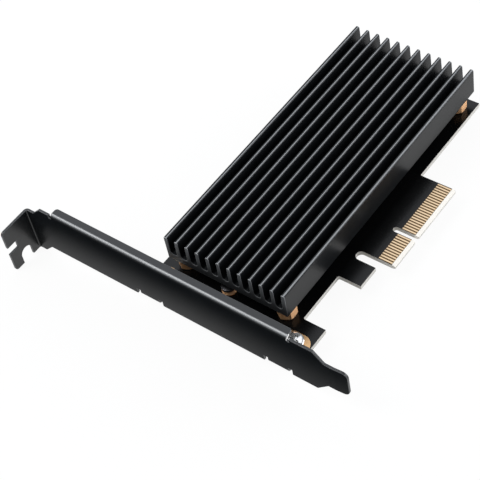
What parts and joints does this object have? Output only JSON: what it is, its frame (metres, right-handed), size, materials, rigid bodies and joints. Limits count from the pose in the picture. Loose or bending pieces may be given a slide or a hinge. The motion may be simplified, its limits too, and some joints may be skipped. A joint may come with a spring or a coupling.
{
  "type": "nvme adapter card",
  "caption": "Low-profile x4 expansion card that carries one M.2 drive under a finned heatsink, with a full-height folded slot bracket.",
  "frame": {"origin": "middle of the key notch in the edge connector, at the connector's tip, on the board's solder side", "axes": "+X along the board from the slot bracket to the far end, +Y from the edge connector up to the bracket's ear, +Z out of the component side"},
  "size_m": [0.127, 0.12, 0.0217],
  "materials": {
    "solder_mask": "glass-epoxy laminate under semi-gloss black solder mask, cream cut edges",
    "gold": "gold plating on copper",
    "bracket_coat": "folded steel sheet, satin black coat",
    "nickel": "nickel-plated steel",
    "anodised": "extruded aluminium, matt black anodised",
    "pad_rubber": "soft silicone thermal pad",
    "brass": "turned brass, bare",
    "black_screw": "black zinc-plated steel",
    "socket_plastic": "moulded black glass-filled plastic",
    "tinned": "tin-plated metal",
    "ceramic": "tan ceramic",
    "resistor_black": "black glassy coat on ceramic"
  },
  "bodies": {
    "root": {"circuit_board": "solder_mask", "edge_contacts_component_side": "gold", "edge_contacts_solder_side": "gold", "bracket_pads_component_side": "gold", "bracket_pads_solder_side": "gold", "slot_bracket": "bracket_coat", "bracket_screws": "nickel", "heatsink": "anodised", "thermal_pad": "pad_rubber", "heatsink_standoffs": "brass", "heatsink_screws": "black_screw", "drive_socket_housing": "socket_plastic", "drive_socket_upper_springs": "gold", "drive_socket_lower_springs": "gold", "drive_socket_lock_plates": "tinned", "drive_collar": "brass", "drive_clamp_screw": "black_screw", "collar_screw": "black_screw", "capacitor_bodies": "ceramic", "capacitor_ends": "tinned", "resistor_bodies": "resistor_black", "resistor_ends": "tinned"}
  },
  "joints": []
}
